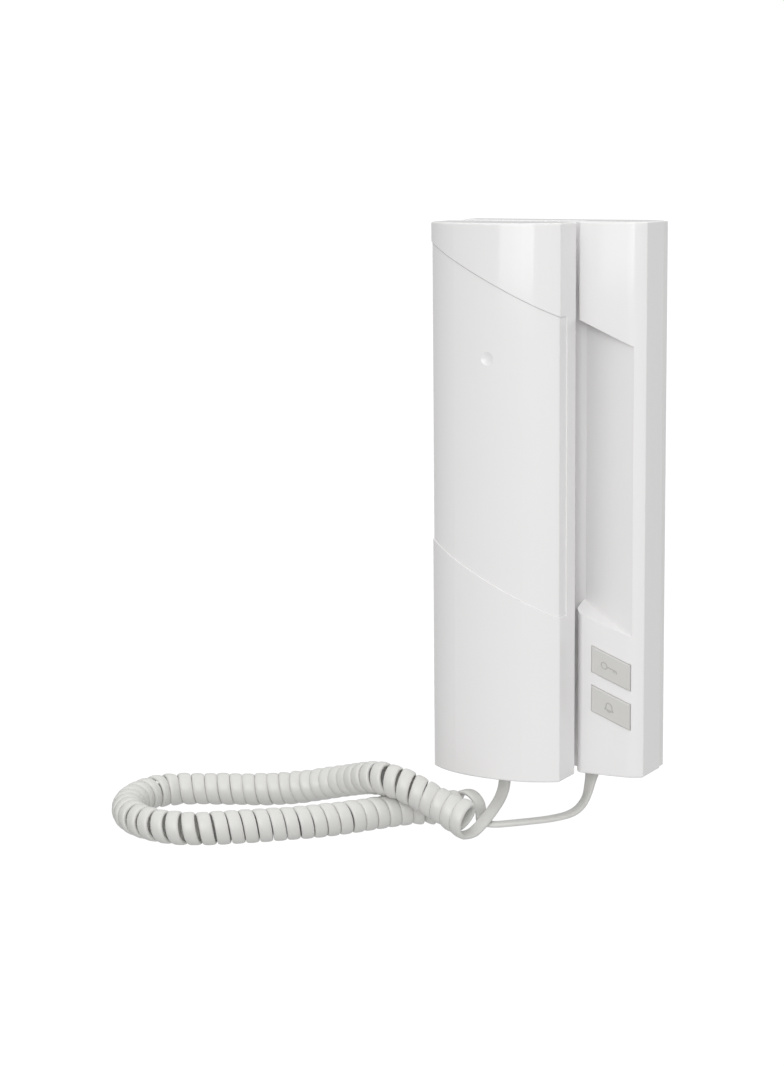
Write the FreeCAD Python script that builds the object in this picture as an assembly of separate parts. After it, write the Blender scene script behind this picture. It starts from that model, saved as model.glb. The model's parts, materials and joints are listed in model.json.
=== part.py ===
"""Door-entry wall phone: a slim base on the wall, a full-height handset on its left, a curly cord.

Frame: millimetres. The origin is the centre of the wall plate's back face.
+X is to the right as seen from the front, +Y goes into the wall, +Z is up.
The front of the phone faces -Y. Depths are given as distances in front of the wall.
"""

import FreeCAD, Part
import math
import os

Vector = FreeCAD.Vector

# ---------------------------------------------------------------- overall size
WIDTH = 78.0
HEIGHT = 207.0
HALF_W = WIDTH / 2
HALF_H = HEIGHT / 2
WALL = 2.0
FLOOR_Z = -HALF_H - 18.0

# ---------------------------------------------------------------- base
PLATE_DEPTH = 5.5
PLATE_INSET = 0.5
PLATE_RIM = 2.5
LOW_DEPTH = 17.5
CROWN_DEPTH = 25.7
CROWN_RADIUS = 320.0
CROWN_END_X = 32.0
SIDE_DEPTH = 20.9
SHOULDER_MID = (35.8, 23.2)
BLOCK_LEFT = 12.8
BLOCK_CORNER = 2.8
TOP_BLOCK_LEFT = 13.6
TOP_BLOCK_CORNER = 0.9
EDGE_FILLET = 0.7

# finger scoop: sloping top and bottom edges, floor rising to the crease at the right, bottom wall leaning out
SCOOP_CREASE_X = 35.1
SCOOP_CREASE_DEPTH = 23.3
SCOOP_FOOT_X = 13.4
SCOOP_LEAN = 0.4
SCOOP_TOP = [(12.0, 68.7), (SCOOP_CREASE_X, 58.3)]
SCOOP_BOTTOM = [(12.0, -41.0), (20.0, -44.4), (SCOOP_CREASE_X, -50.4)]

# wells that take the two heads of the handset
WELL_DEPTH = 13.0
WELL_EXTRA = 1.6
WELL_RISE = 1.25
HEAD_Z = 73.5

# wall screws and cable entry
SCREW_X = 0.0
SCREW_SPACING = 60.0
SCREW_MID_Z = 20.0
SCREW_HOLE_R = 2.25
CABLE_HALF_W = 12.0
CABLE_Z = (10.0, 30.0)

# ---------------------------------------------------------------- circuit board
BOARD_BACK = 5.0
BOARD_THICK = 1.6
BOARD_FRONT = BOARD_BACK + BOARD_THICK
BOARD_X = (-13.5, 35.5)
BOARD_Z = (-97.0, -20.0)
BOARD_SCREWS = [(-10.5, -93.5), (-10.5, -35.0), (33.0, -93.5), (33.0, -23.5)]

# ---------------------------------------------------------------- buttons
BUTTON_X = (19.55, 34.8)
BUTTON_SLOPE = 0.41
BUTTON_HIGH = 9.9
BUTTON_TOPS = {"unlock": -53.9, "call": -68.9}
BUTTON_GAP = 0.15
BUTTON_PROUD = 0.6
BUTTON_EDGE = 0.45
BUTTON_TRAVEL = 1.0
BUTTON_FLANGE = 1.1
FLANGE_RIGHT = 35.1
FLANGE_FRONT = 21.7
FLANGE_BACK = 20.7
STEM_END = 14.0

# ---------------------------------------------------------------- cradle plunger
HOOK_X = -4.0
HOOK_Z = -67.0
HOOK_R = 2.5
HOOK_TRAVEL = 2.0

# ---------------------------------------------------------------- handset
HAND_X = -12.5
HAND_HALF_W = 26.5
HAND_PEAK = 49.1
HAND_REAR = 28.3
CROWN_HALF = 14.0
CROWN_DROP = 1.68
CORNER_DROP = 8.0
BAND_SUNK = 0.4
BAND_REAR = 35.4
GROOVE_WIDE = 0.35
GROOVE_DEEP = 0.4
BAND_TOP = [(-HALF_W - 5, 98.8), (HALF_W, 57.3)]
BAND_BOTTOM = [(-HALF_W - 5, -12.8), (HALF_W, -53.3)]
DIMPLE = (-12.1, 54.4)
DIMPLE_R = 2.55
DIMPLE_DEEP = 0.6
HEAD_TIP = 13.6
EAR_ROOT_R = 22.0
EAR_TIP_R = 18.0
MOUTH_ROOT_R = 19.0
MOUTH_TIP_R = 16.0
REAR_PLATE = 2.2
FIT_GAP = 0.1
HAND_SCREW_Z = 35.0

# ---------------------------------------------------------------- cord
CORD_FLAT = 4.9
TAIL_R = 1.2
COIL_R = 6.2
TAIL_LOW = FLOOR_Z + TAIL_R + 0.1
COIL_LOW = FLOOR_Z + COIL_R + 0.1
HAND_EXIT = (HAND_X, -33.6, -HALF_H)
BASE_EXIT = (14.5, -11.7, -HALF_H)

# Routes, from the handset to the base. The coil lies on the floor and passes once over itself.
HAND_TAIL = [
    HAND_EXIT,
    (-12.5, -33.6, -108.8),
    (-12.0, -38.0, -113.2),
    (-11.6, -44.5, -115.8),
    (-11.2, -51.5, -117.8),
    (-11.0, -59.0, -119.4),
    (-12.0, -66.0, -120.0),
    (-17.5, -69.2, -118.8),
]
COIL_HAND_END = [
    (-14.0, -66.5, -115.1),
    (-24.0, -68.2, -109.0),
    (-33.5, -69.7, -104.7),
    (-43.0, -70.1, -102.2),
    (-53.0, -66.8, -103.8),
    (-63.5, -61.6, -107.3),
    (-74.9, -58.8, -110.6),
]
COIL_REST = [
    (-74.9, -58.8, -110.6),
    (-88.0, -59.7, -114.0),
    (-101.0, -65.0, COIL_LOW),
    (-114.0, -70.8, COIL_LOW),
    (-126.0, -76.5, COIL_LOW),
    (-135.7, -82.5, COIL_LOW),
    (-139.2, -93.7, COIL_LOW),
    (-137.0, -105.5, COIL_LOW),
    (-130.0, -116.0, COIL_LOW),
    (-120.0, -123.0, COIL_LOW),
    (-107.5, -125.7, COIL_LOW),
    (-95.0, -122.5, COIL_LOW),
    (-83.5, -113.3, COIL_LOW),
    (-72.5, -104.0, COIL_LOW),
    (-62.0, -94.2, COIL_LOW),
    (-52.5, -82.5, COIL_LOW),
    (-44.3, -69.7, COIL_LOW),
    (-36.0, -58.2, COIL_LOW),
    (-26.2, -48.8, COIL_LOW),
    (-16.5, -43.5, COIL_LOW),
]
BASE_TAIL = [
    (-17.5, -46.0, -119.6),
    (-11.5, -50.0, TAIL_LOW),
    (-5.0, -47.8, TAIL_LOW),
    (2.2, -41.0, TAIL_LOW),
    (8.0, -32.0, TAIL_LOW),
    (12.0, -22.5, -119.0),
    (14.0, -15.0, -113.5),
    (14.5, -12.2, -108.0),
    BASE_EXIT,
]


# ================================================================ small tools
def box(x0, x1, front, back, z0, z1):
    """A block between two depths in front of the wall, front being the larger."""
    return Part.makeBox(x1 - x0, front - back, z1 - z0, Vector(x0, -front, z0))


def post(x, z, radius, front, back):
    """A cylinder along Y between two depths in front of the wall."""
    return Part.makeCylinder(radius, front - back, Vector(x, -front, z), Vector(0, 1, 0))


def cone(x, z, front_r, back_r, front, back):
    """A frustum along Y between two depths in front of the wall."""
    return Part.makeCone(front_r, back_r, front - back, Vector(x, -front, z), Vector(0, 1, 0))


def face_prism(points, front, back):
    """A prism along Y over an outline of (x, z) points."""
    corners = [Vector(x, -front, z) for x, z in points]
    outline = Part.makePolygon(corners + [corners[0]])
    return Part.Face(outline).extrude(Vector(0, front - back, 0))


def plan_prism(edges, z0, z1):
    """A prism along Z over a closed outline of edges drawn at z = 0."""
    face = Part.Face(Part.Wire(edges))
    face.translate(Vector(0, 0, z0))
    return face.extrude(Vector(0, 0, z1 - z0))


def at(x, depth):
    """A plan point from X and its depth in front of the wall."""
    return Vector(x, -depth, 0)


def line(a, b):
    """A straight plan edge."""
    return Part.LineSegment(a, b).toShape()


def arc(a, mid, b):
    """A plan arc through three points."""
    return Part.Arc(a, mid, b).toShape()


def fillet_where(shape, radius, wanted):
    """Round the edges whose centre passes the test."""
    edges = [edge for edge in shape.Edges if wanted(edge, edge.CenterOfMass)]
    return shape.makeFillet(radius, edges) if edges else shape


def joined(first, *others):
    """Fuse shapes into one clean solid."""
    result = first
    for other in others:
        result = result.fuse(other)
    return result.removeSplitter()


def save(name, *solids):
    """Write one node; several solids make a group."""
    shape = solids[0] if len(solids) == 1 else Part.makeCompound(list(solids))
    if shape.ShapeType == "Compound" and len(shape.Solids) == 1:
        shape = shape.Solids[0]
    if not shape.isValid():
        raise ValueError(name + " is not a valid shape")
    shape.exportStep("parts/" + name + ".step")
    print(name, len(shape.Solids), "solid(s)", round(shape.Volume, 1), "mm3")


# ================================================================ base shells
def crown_depth(x):
    """Depth of the base's crowned front at X."""
    return CROWN_DEPTH - x * x / (2 * CROWN_RADIUS)


def base_outline(block_left, corner):
    """Plan outline of the base cover: low left part, rounded step, crowned block, shoulder."""
    left = -HALF_W
    corner_x = block_left + corner
    top = crown_depth(corner_x)
    diag = corner * (1 - math.sqrt(0.5))
    middle_x = (corner_x + CROWN_END_X) / 2
    return [
        line(at(left, PLATE_DEPTH), at(HALF_W, PLATE_DEPTH)),
        line(at(HALF_W, PLATE_DEPTH), at(HALF_W, SIDE_DEPTH)),
        arc(at(HALF_W, SIDE_DEPTH), at(*SHOULDER_MID), at(CROWN_END_X, crown_depth(CROWN_END_X))),
        arc(at(CROWN_END_X, crown_depth(CROWN_END_X)), at(middle_x, crown_depth(middle_x)),
            at(corner_x, top)),
        arc(at(corner_x, top), at(block_left + diag, top - diag), at(block_left, top - corner)),
        line(at(block_left, top - corner), at(block_left, LOW_DEPTH)),
        line(at(block_left, LOW_DEPTH), at(left, LOW_DEPTH)),
        line(at(left, LOW_DEPTH), at(left, PLATE_DEPTH)),
    ]


def scoop_section(depth):
    """Outline of the scoop at a depth: its bottom wall leans out towards the front."""
    rise = SCOOP_LEAN * (CROWN_DEPTH - depth)
    points = SCOOP_TOP + [(x, z + rise) for x, z in SCOOP_BOTTOM[::-1]]
    corners = [Vector(x, -depth, z) for x, z in points]
    return Part.makePolygon(corners + corners[:1])


def scoop():
    """The finger scoop beside the handset: a leaning prism cut off by its sloping floor."""
    front = CROWN_DEPTH + 5
    prism = Part.makeLoft([scoop_section(front), scoop_section(0)], True, True)
    left = SCOOP_TOP[0][0]
    wedge = [
        line(at(left, LOW_DEPTH), at(SCOOP_FOOT_X, LOW_DEPTH)),
        line(at(SCOOP_FOOT_X, LOW_DEPTH), at(SCOOP_CREASE_X, SCOOP_CREASE_DEPTH)),
        line(at(SCOOP_CREASE_X, SCOOP_CREASE_DEPTH), at(SCOOP_CREASE_X, front)),
        line(at(SCOOP_CREASE_X, front), at(left, front)),
        line(at(left, front), at(left, LOW_DEPTH)),
    ]
    return prism.common(plan_prism(wedge, -HALF_H, HALF_H))


def head_radius(tip_r, root_r, depth):
    """Radius of a head's cone at a depth in front of the wall."""
    share = (depth - HEAD_TIP) / (HAND_REAR - HEAD_TIP)
    return tip_r + (root_r - tip_r) * share


def well(tip_r, root_r, z):
    """A flared round well with a little room above the head for lifting it out."""
    mouth = head_radius(tip_r, root_r, LOW_DEPTH) + WELL_EXTRA
    return cone(HAND_X, z + WELL_RISE, mouth + 0.3, tip_r + WELL_EXTRA, LOW_DEPTH, WELL_DEPTH)


def cover_cavity():
    """The hollow of the base cover, two millimetres inside its skin."""
    inner = HALF_W - WALL
    high = HALF_H - WALL
    low = box(-inner, inner, LOW_DEPTH - WALL, PLATE_DEPTH, -high, high)
    for tip_r, z in ((EAR_TIP_R, HEAD_Z), (MOUTH_TIP_R, -HEAD_Z)):
        floor = post(HAND_X, z + WELL_RISE, tip_r + 4, LOW_DEPTH, WELL_DEPTH - WALL)
        low = low.cut(floor)
    block = [
        line(at(BLOCK_LEFT + WALL, 10), at(inner, 10)),
        line(at(inner, 10), at(inner, 19.4)),
        line(at(inner, 19.4), at(FLANGE_RIGHT + 0.2, 21.85)),
        line(at(FLANGE_RIGHT + 0.2, 21.85), at(CROWN_END_X, 22.2)),
        line(at(CROWN_END_X, 22.2), at(BLOCK_LEFT + WALL, 23.3)),
        line(at(BLOCK_LEFT + WALL, 23.3), at(BLOCK_LEFT + WALL, 10)),
    ]
    ledge_left = SCOOP_BOTTOM[0][1] - WALL - 2.4
    ledge_right = SCOOP_BOTTOM[-1][1] - WALL - 1.4
    lower_area = [(BLOCK_LEFT, -high), (inner, -high), (inner, ledge_right), (BLOCK_LEFT, ledge_left)]
    upper_area = [(BLOCK_LEFT, 72.0), (inner, 62.0), (inner, high), (BLOCK_LEFT, high)]
    block_hollow = plan_prism(block, -high, high)
    lower = block_hollow.common(face_prism(lower_area, CROWN_DEPTH, 9))
    upper = block_hollow.common(face_prism(upper_area, CROWN_DEPTH, 9))
    return joined(low, lower, upper)


def button_outline(top_z, grow):
    """Slanting outline of a button cap, grown evenly on all sides."""
    x0, x1 = BUTTON_X[0] - grow, BUTTON_X[1] + grow
    drop = BUTTON_SLOPE * (BUTTON_X[1] - BUTTON_X[0] + 2 * grow)
    top = top_z + grow + BUTTON_SLOPE * grow
    bottom = top_z - BUTTON_HIGH - grow + BUTTON_SLOPE * grow
    return [(x0, top), (x1, top - drop), (x1, bottom - drop), (x0, bottom)]


COVER_SCREW_X = -25.0
COVER_SCREW_DEPTH = 9.0
COVER_BOSS = 3.6
LUG_XS = (-20.0, 20.0)
LUG_HALF = 4.0


def make_base_cover():
    """Front shell of the base."""
    lower = plan_prism(base_outline(BLOCK_LEFT, BLOCK_CORNER), -HALF_H, 0)
    upper = plan_prism(base_outline(TOP_BLOCK_LEFT, TOP_BLOCK_CORNER), 0, HALF_H)
    body = joined(lower, upper).cut(scoop()).removeSplitter()

    def outer_rim(edge, c):
        flat_end = abs(abs(c.z) - HALF_H) < 0.01 and -c.y > PLATE_DEPTH + 0.2
        side = abs(abs(c.x) - HALF_W) < 0.01 and -c.y > 15 and abs(c.z) < 0.1
        return flat_end or side

    body = fillet_where(body, EDGE_FILLET, outer_rim)
    body = body.cut(well(EAR_TIP_R, EAR_ROOT_R, HEAD_Z))
    body = body.cut(well(MOUTH_TIP_R, MOUTH_ROOT_R, -HEAD_Z))
    body = body.cut(cover_cavity())

    boss = Part.makeCylinder(COVER_BOSS, WALL + 1.6,
                             Vector(COVER_SCREW_X, -COVER_SCREW_DEPTH, -HALF_H), Vector(0, 0, 1))
    keep = box(-HALF_W, 0, LOW_DEPTH, PLATE_DEPTH, -HALF_H, 0)
    body = body.fuse(boss.common(keep))
    hole = Part.makeCylinder(1.7, 20, Vector(COVER_SCREW_X, -COVER_SCREW_DEPTH, -HALF_H - 1))
    head = Part.makeCylinder(2.9, 2.6, Vector(COVER_SCREW_X, -COVER_SCREW_DEPTH, -HALF_H - 1))
    body = body.cut(hole).cut(head)

    for top_z in BUTTON_TOPS.values():
        body = body.cut(face_prism(button_outline(top_z, BUTTON_GAP), CROWN_DEPTH + 1, 20))
    body = body.cut(post(HOOK_X, HOOK_Z, HOOK_R + 0.08, LOW_DEPTH, 9))
    body = body.cut(box(BASE_EXIT[0] - 4.3, BASE_EXIT[0] + 4.3, 15.3, 8.5, -HALF_H - 1, -HALF_H + 4))
    for x in LUG_XS:
        pocket = box(x - LUG_HALF - 0.3, x + LUG_HALF + 0.3, 11.7, 9.4, HALF_H - 3, HALF_H - 0.8)
        body = body.cut(pocket)
    return body.removeSplitter()


def make_wall_plate():
    """Rear tray with board posts, wall screw holes, cable entry, top lugs and a screw tab."""
    half_w = HALF_W - PLATE_INSET
    half_h = HALF_H - PLATE_INSET
    tray = box(-half_w, half_w, PLATE_DEPTH, 0, -half_h, half_h)

    def upright(edge, c):
        return abs(c.z) < 0.1 and abs(abs(c.x) - half_w) < 0.01

    tray = fillet_where(tray, 1.5, upright)
    hollow = box(-half_w + PLATE_RIM, half_w - PLATE_RIM, PLATE_DEPTH, WALL,
                 -half_h + PLATE_RIM, half_h - PLATE_RIM)
    tray = tray.cut(hollow)
    for x, z in BOARD_SCREWS:
        tray = tray.fuse(post(x, z, 2.6, BOARD_BACK, WALL - 0.5))
    for x in LUG_XS:
        tab = box(x - LUG_HALF, x + LUG_HALF, 11.4, WALL - 0.5, HALF_H - WALL - 1.9, HALF_H - WALL - 0.1)
        lug = box(x - LUG_HALF, x + LUG_HALF, 11.4, 9.7, HALF_H - WALL - 1.9, HALF_H - 1.0)
        tray = tray.fuse(tab).fuse(lug)
    tab_low = -HALF_H + WALL + 1.7
    tab = box(COVER_SCREW_X - 4, COVER_SCREW_X + 4, 12.5, WALL - 0.5, tab_low, tab_low + 6)
    tray = tray.fuse(tab)
    pilot = Part.makeCylinder(1.25, 10, Vector(COVER_SCREW_X, -COVER_SCREW_DEPTH, tab_low - 1))
    tray = tray.cut(pilot)
    for x, z in BOARD_SCREWS:
        tray = tray.cut(post(x, z, 1.0, BOARD_BACK + 1, 0.9))
    for side in (-0.5, 0.5):
        z = SCREW_MID_Z + side * SCREW_SPACING
        ring = post(SCREW_X, z, 5.0, 3.2, WALL - 0.5)
        tray = tray.fuse(ring).cut(post(SCREW_X, z, SCREW_HOLE_R, 10, -1))
    tray = tray.cut(box(-CABLE_HALF_W, CABLE_HALF_W, 10, -1, *CABLE_Z))
    return tray.removeSplitter()


def make_cover_screw():
    """The screw that holds the cover, put in from below."""
    top = Vector(COVER_SCREW_X, -COVER_SCREW_DEPTH, -HALF_H + 0.1)
    head = Part.makeCylinder(2.7, 1.4, top)
    shank = Part.makeCylinder(1.25, 9.5, top)
    slot = box(COVER_SCREW_X - 2.2, COVER_SCREW_X + 2.2, COVER_SCREW_DEPTH + 0.35,
               COVER_SCREW_DEPTH - 0.35, -HALF_H, -HALF_H + 0.8)
    cross = box(COVER_SCREW_X - 0.35, COVER_SCREW_X + 0.35, COVER_SCREW_DEPTH + 2.2,
                COVER_SCREW_DEPTH - 2.2, -HALF_H, -HALF_H + 0.8)
    return head.fuse(shank).cut(slot).cut(cross).removeSplitter()


# ================================================================ buttons and switches
def make_button(top_z):
    """Button cap with its retaining flange and a stem down to the switch."""
    front = Part.makeCylinder(CROWN_RADIUS + BUTTON_PROUD, HEIGHT,
                              Vector(0, CROWN_RADIUS - CROWN_DEPTH, -HALF_H))
    cap = face_prism(button_outline(top_z, 0), CROWN_DEPTH + 1, FLANGE_BACK).common(front)

    def front_rim(edge, c):
        return -c.y > 22.5 and edge.BoundBox.YLength < 3 and edge.Length > 5

    cap = fillet_where(cap, BUTTON_EDGE, front_rim)
    flange = face_prism(button_outline(top_z, BUTTON_FLANGE), FLANGE_FRONT, FLANGE_BACK)
    flange = flange.common(box(0, FLANGE_RIGHT, FLANGE_FRONT, FLANGE_BACK, -HALF_H, 0))
    x, z = button_centre(top_z)
    stem = post(x, z, 2.0, FLANGE_BACK + 0.5, STEM_END)
    return joined(cap, flange, stem)


def button_centre(top_z):
    """Centre of a button in (x, z)."""
    x = (BUTTON_X[0] + BUTTON_X[1]) / 2
    z = top_z - BUTTON_HIGH / 2 - BUTTON_SLOPE * (BUTTON_X[1] - BUTTON_X[0]) / 2
    return x, z


def make_tact_switch(x, z):
    """Board switch with a round plunger that the button's stem reaches at the end of its travel."""
    body = box(x - 3, x + 3, BOARD_FRONT + 3.5, BOARD_FRONT, z - 3, z + 3)
    return body.fuse(post(x, z, 1.7, STEM_END - BUTTON_TRAVEL - 0.05, BOARD_FRONT + 3)).removeSplitter()


def make_spring(x, z, radius, wire, front, back, turns):
    """A helical compression spring along Y between two depths."""
    height = front - back - 2 * wire
    helix = Part.makeHelix(height / turns, height, radius)
    start = Vector(radius, 0, 0)
    profile = Part.Wire(Part.makeCircle(wire / 2, start, Vector(0, 1, 0)))
    coil = Part.Wire(helix).makePipeShell([profile], True, True)
    coil.rotate(Vector(0, 0, 0), Vector(1, 0, 0), -90)
    coil.translate(Vector(x, -front + wire, z))
    return coil


def make_hook_plunger():
    """Cradle plunger: round tip through the well's floor, flange behind it, pin inside its spring."""
    rest_front = WELL_DEPTH - WALL - 0.05 - HOOK_TRAVEL
    tip = post(HOOK_X, HOOK_Z, HOOK_R, HEAD_TIP - 0.1, rest_front - 1.0)

    def tip_rim(edge, c):
        return abs(-c.y - (HEAD_TIP - 0.1)) < 0.01

    tip = fillet_where(tip, 0.8, tip_rim)
    flange = box(HOOK_X - 4.5, HOOK_X + 8.0, rest_front, rest_front - 1.0, HOOK_Z - 3.6, HOOK_Z + 3.6)
    pin = post(HOOK_X, HOOK_Z, 0.9, rest_front, 4.6)
    return joined(tip, flange, pin)


def make_board():
    """Circuit board with its screw holes and the hole for the hook spring."""
    board = box(*BOARD_X, BOARD_FRONT, BOARD_BACK, *BOARD_Z)
    notch = box(BASE_EXIT[0] - 6.5, BASE_EXIT[0] + 6.5, BOARD_FRONT + 1, BOARD_BACK - 1,
                BOARD_Z[0] - 1, BOARD_Z[0] + 1.5)
    board = board.cut(notch)
    for x, z in BOARD_SCREWS:
        board = board.cut(post(x, z, 1.35, BOARD_FRONT + 1, BOARD_BACK - 1))
    return board.cut(post(HOOK_X, HOOK_Z, 3.0, BOARD_FRONT + 1, BOARD_BACK - 1))


def make_board_screws():
    """Pan-head screws that hold the board."""
    screws = []
    for x, z in BOARD_SCREWS:
        head = post(x, z, 2.1, BOARD_FRONT + 1.4, BOARD_FRONT)
        screws.append(head.fuse(post(x, z, 1.0, BOARD_FRONT + 0.5, 1.2)).removeSplitter())
    return screws


def make_board_components():
    """Capacitors, a small chip and a row of resistors on the board."""
    parts = []
    for x, z in ((6.0, -42.0), (12.5, -42.0)):
        parts.append(post(x, z, 2.5, BOARD_FRONT + 7.0, BOARD_FRONT))
    parts.append(box(4.0, 9.0, BOARD_FRONT + 1.6, BOARD_FRONT, -88.0, -82.0))
    parts.append(box(8.0, 14.0, BOARD_FRONT + 2.4, BOARD_FRONT, -60.0, -52.0))
    for step in range(5):
        z = -50.5 + 2.2 * step
        parts.append(box(-10.0, -6.8, BOARD_FRONT + 0.6, BOARD_FRONT, z, z + 1.6))
    return parts


TERMINAL_X0 = -10.0
TERMINAL_PITCH = 5.0
TERMINAL_COUNT = 6
TERMINAL_Z = (-31.5, -23.5)


def make_terminal_block():
    """Six-way line terminal block with wire mouths and screw wells."""
    high = BOARD_FRONT + 8.0
    length = TERMINAL_PITCH * TERMINAL_COUNT
    block = box(TERMINAL_X0, TERMINAL_X0 + length, high, BOARD_FRONT, *TERMINAL_Z)
    for way in range(TERMINAL_COUNT):
        x = TERMINAL_X0 + TERMINAL_PITCH * (way + 0.5)
        mouth = box(x - 1.5, x + 1.5, BOARD_FRONT + 4.6, BOARD_FRONT + 1.4,
                    TERMINAL_Z[1] - 4.0, TERMINAL_Z[1] + 1)
        block = block.cut(mouth).cut(post(x, TERMINAL_Z[0] + 3.2, 1.9, high + 1, BOARD_FRONT + 5.0))
    return block.removeSplitter()


def make_terminal_screws():
    """One slotted clamp screw per way."""
    screws = []
    for way in range(TERMINAL_COUNT):
        x = TERMINAL_X0 + TERMINAL_PITCH * (way + 0.5)
        z = TERMINAL_Z[0] + 3.2
        screw = post(x, z, 1.7, BOARD_FRONT + 6.8, BOARD_FRONT + 5.0)
        slot = box(x - 2, x + 2, BOARD_FRONT + 7, BOARD_FRONT + 6.2, z - 0.3, z + 0.3)
        screws.append(screw.cut(slot))
    return screws


def make_buzzer(x, z):
    """Round call sounder with its sound hole."""
    can = post(x, z, 6.0, BOARD_FRONT + 7.6, BOARD_FRONT)
    return can.cut(post(x, z, 1.2, BOARD_FRONT + 8, BOARD_FRONT + 5.5))


# ================================================================ cord sockets and plugs
PLUG_W = 7.6
PLUG_D = 5.8
PLUG_L = 11.5
JACK_L = 13.0


def make_plug(x, depth):
    """Modular plug, flush with the bottom edge of its shell, with its latch on the front side."""
    z0 = -HALF_H + 0.3
    body = box(x - PLUG_W / 2, x + PLUG_W / 2, depth + PLUG_D / 2, depth - PLUG_D / 2, z0, z0 + PLUG_L)
    cable = box(x - CORD_FLAT / 2 - 0.2, x + CORD_FLAT / 2 + 0.2, depth + 1.25, depth - 1.25,
                z0 - 0.3, z0 + 0.2)
    body = body.fuse(cable).removeSplitter()
    for way in range(4):
        slot_x = x - 1.9 + 1.27 * way
        slot = box(slot_x - 0.3, slot_x + 0.3, depth - PLUG_D / 2 + 0.8, depth - PLUG_D / 2 - 1,
                   z0 + PLUG_L - 5, z0 + PLUG_L + 1)
        body = body.cut(slot)
    return body


def make_jack(x, depth):
    """Socket body around the plug, open at the bottom."""
    z0 = -HALF_H + 2.1
    body = box(x - 5.4, x + 5.4, depth + PLUG_D / 2 + 0.75, depth - PLUG_D / 2 - 0.85, z0, z0 + JACK_L)
    room = box(x - PLUG_W / 2 - 0.1, x + PLUG_W / 2 + 0.1, depth + PLUG_D / 2 + 0.1,
               depth - PLUG_D / 2 - 0.1, z0 - 1, -HALF_H + 0.3 + PLUG_L + 0.2)
    return body.cut(room)


# ================================================================ handset
def crowned_outline(inset, rear):
    """Plan outline of the handset: a flat crown arc, two tighter arcs and straight sides."""
    half = HAND_HALF_W - inset
    peak = HAND_PEAK - inset

    def depth(u):
        share = abs(u) / HAND_HALF_W
        if share <= CROWN_HALF / HAND_HALF_W:
            return peak - CROWN_DROP * (u / CROWN_HALF) ** 2
        run = abs(u) - CROWN_HALF
        full = HAND_HALF_W - CROWN_HALF
        slope = 2 * CROWN_DROP / CROWN_HALF
        bend = (CORNER_DROP - CROWN_DROP - slope * full) / full ** 2
        return peak - CROWN_DROP - slope * run - bend * run * run

    def point(u):
        return at(HAND_X + u, depth(u))

    quarter = (CROWN_HALF + half) / 2
    return [
        line(at(HAND_X - half, rear), at(HAND_X + half, rear)),
        line(at(HAND_X + half, rear), point(half)),
        arc(point(half), point(quarter), point(CROWN_HALF)),
        arc(point(CROWN_HALF), at(HAND_X, peak), point(-CROWN_HALF)),
        arc(point(-CROWN_HALF), point(-quarter), point(-half)),
        line(point(-half), at(HAND_X - half, rear)),
    ]


def band_prism():
    """The slanting middle band of the handset's front, down to the line on its sides."""
    return face_prism(BAND_TOP + BAND_BOTTOM[::-1], HAND_PEAK + 2, BAND_REAR)


def band_groove():
    """The narrow groove along the band's upper edge."""
    lower = [(x, z - GROOVE_WIDE) for x, z in BAND_TOP]
    strip = face_prism(BAND_TOP + lower[::-1], HAND_PEAK + 2, BAND_REAR)
    return strip.cut(plan_prism(crowned_outline(BAND_SUNK + GROOVE_DEEP, HAND_REAR - 1), -HALF_H, HALF_H))


def make_handset_front():
    """Crowned front shell with its sunk and grooved middle band, dimple, screw posts and plug opening."""
    body = plan_prism(crowned_outline(0, HAND_REAR), -HALF_H, HALF_H)

    def outer_rim(edge, c):
        end = abs(abs(c.z) - HALF_H) < 0.01 and -c.y > HAND_REAR + 0.5
        corner = abs(c.z) < 0.1 and abs(abs(c.x - HAND_X) - HAND_HALF_W) < 0.01 and -c.y > 35
        return end or corner

    body = fillet_where(body, EDGE_FILLET, outer_rim)
    slim = plan_prism(crowned_outline(BAND_SUNK, HAND_REAR - 1), -HALF_H, HALF_H)

    def slim_corner(edge, c):
        return abs(c.z) < 0.1 and abs(c.x - HAND_X) > HAND_HALF_W - 1 and -c.y > 35

    slim = fillet_where(slim, EDGE_FILLET, slim_corner)
    body = body.cut(band_prism().cut(slim)).removeSplitter()
    body = body.cut(band_groove())
    body = body.cut(plan_prism(crowned_outline(WALL, HAND_REAR - 1), -HALF_H + WALL, HALF_H - WALL))
    for z in (-HAND_SCREW_Z, HAND_SCREW_Z):
        body = body.fuse(post(HAND_X, z, 3.2, HAND_PEAK - WALL / 2, HAND_REAR + REAR_PLATE + 0.05))
        body = body.cut(post(HAND_X, z, 1.2, 43.0, HAND_REAR))
    ball_r = (DIMPLE_R ** 2 + DIMPLE_DEEP ** 2) / (2 * DIMPLE_DEEP)
    centre = Vector(DIMPLE[0], -HAND_PEAK + BAND_SUNK + DIMPLE_DEEP - ball_r, DIMPLE[1])
    body = body.cut(Part.makeSphere(ball_r, centre))
    x, depth = HAND_X, -HAND_EXIT[1]
    body = body.cut(box(x - 4.2, x + 4.2, depth + 3.2, depth - 3.2, -HALF_H - 1, -HALF_H + WALL + 1))
    return body.removeSplitter()


def head_shell(z, tip_r, root_r):
    """One head of the rear shell: outer cone with a rounded tip."""
    root = HAND_REAR + REAR_PLATE
    solid = cone(HAND_X, z, head_radius(tip_r, root_r, root), tip_r, root, HEAD_TIP)

    def tip_edge(edge, c):
        return abs(-c.y - HEAD_TIP) < 0.01

    return fillet_where(solid, 1.5, tip_edge)


def head_hollow(z, tip_r, root_r):
    """The hollow inside one head."""
    root = HAND_REAR + REAR_PLATE + 1
    back = HEAD_TIP + WALL
    return cone(HAND_X, z, head_radius(tip_r, root_r, root) - WALL, tip_r - WALL + 0.3, root, back)


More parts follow.
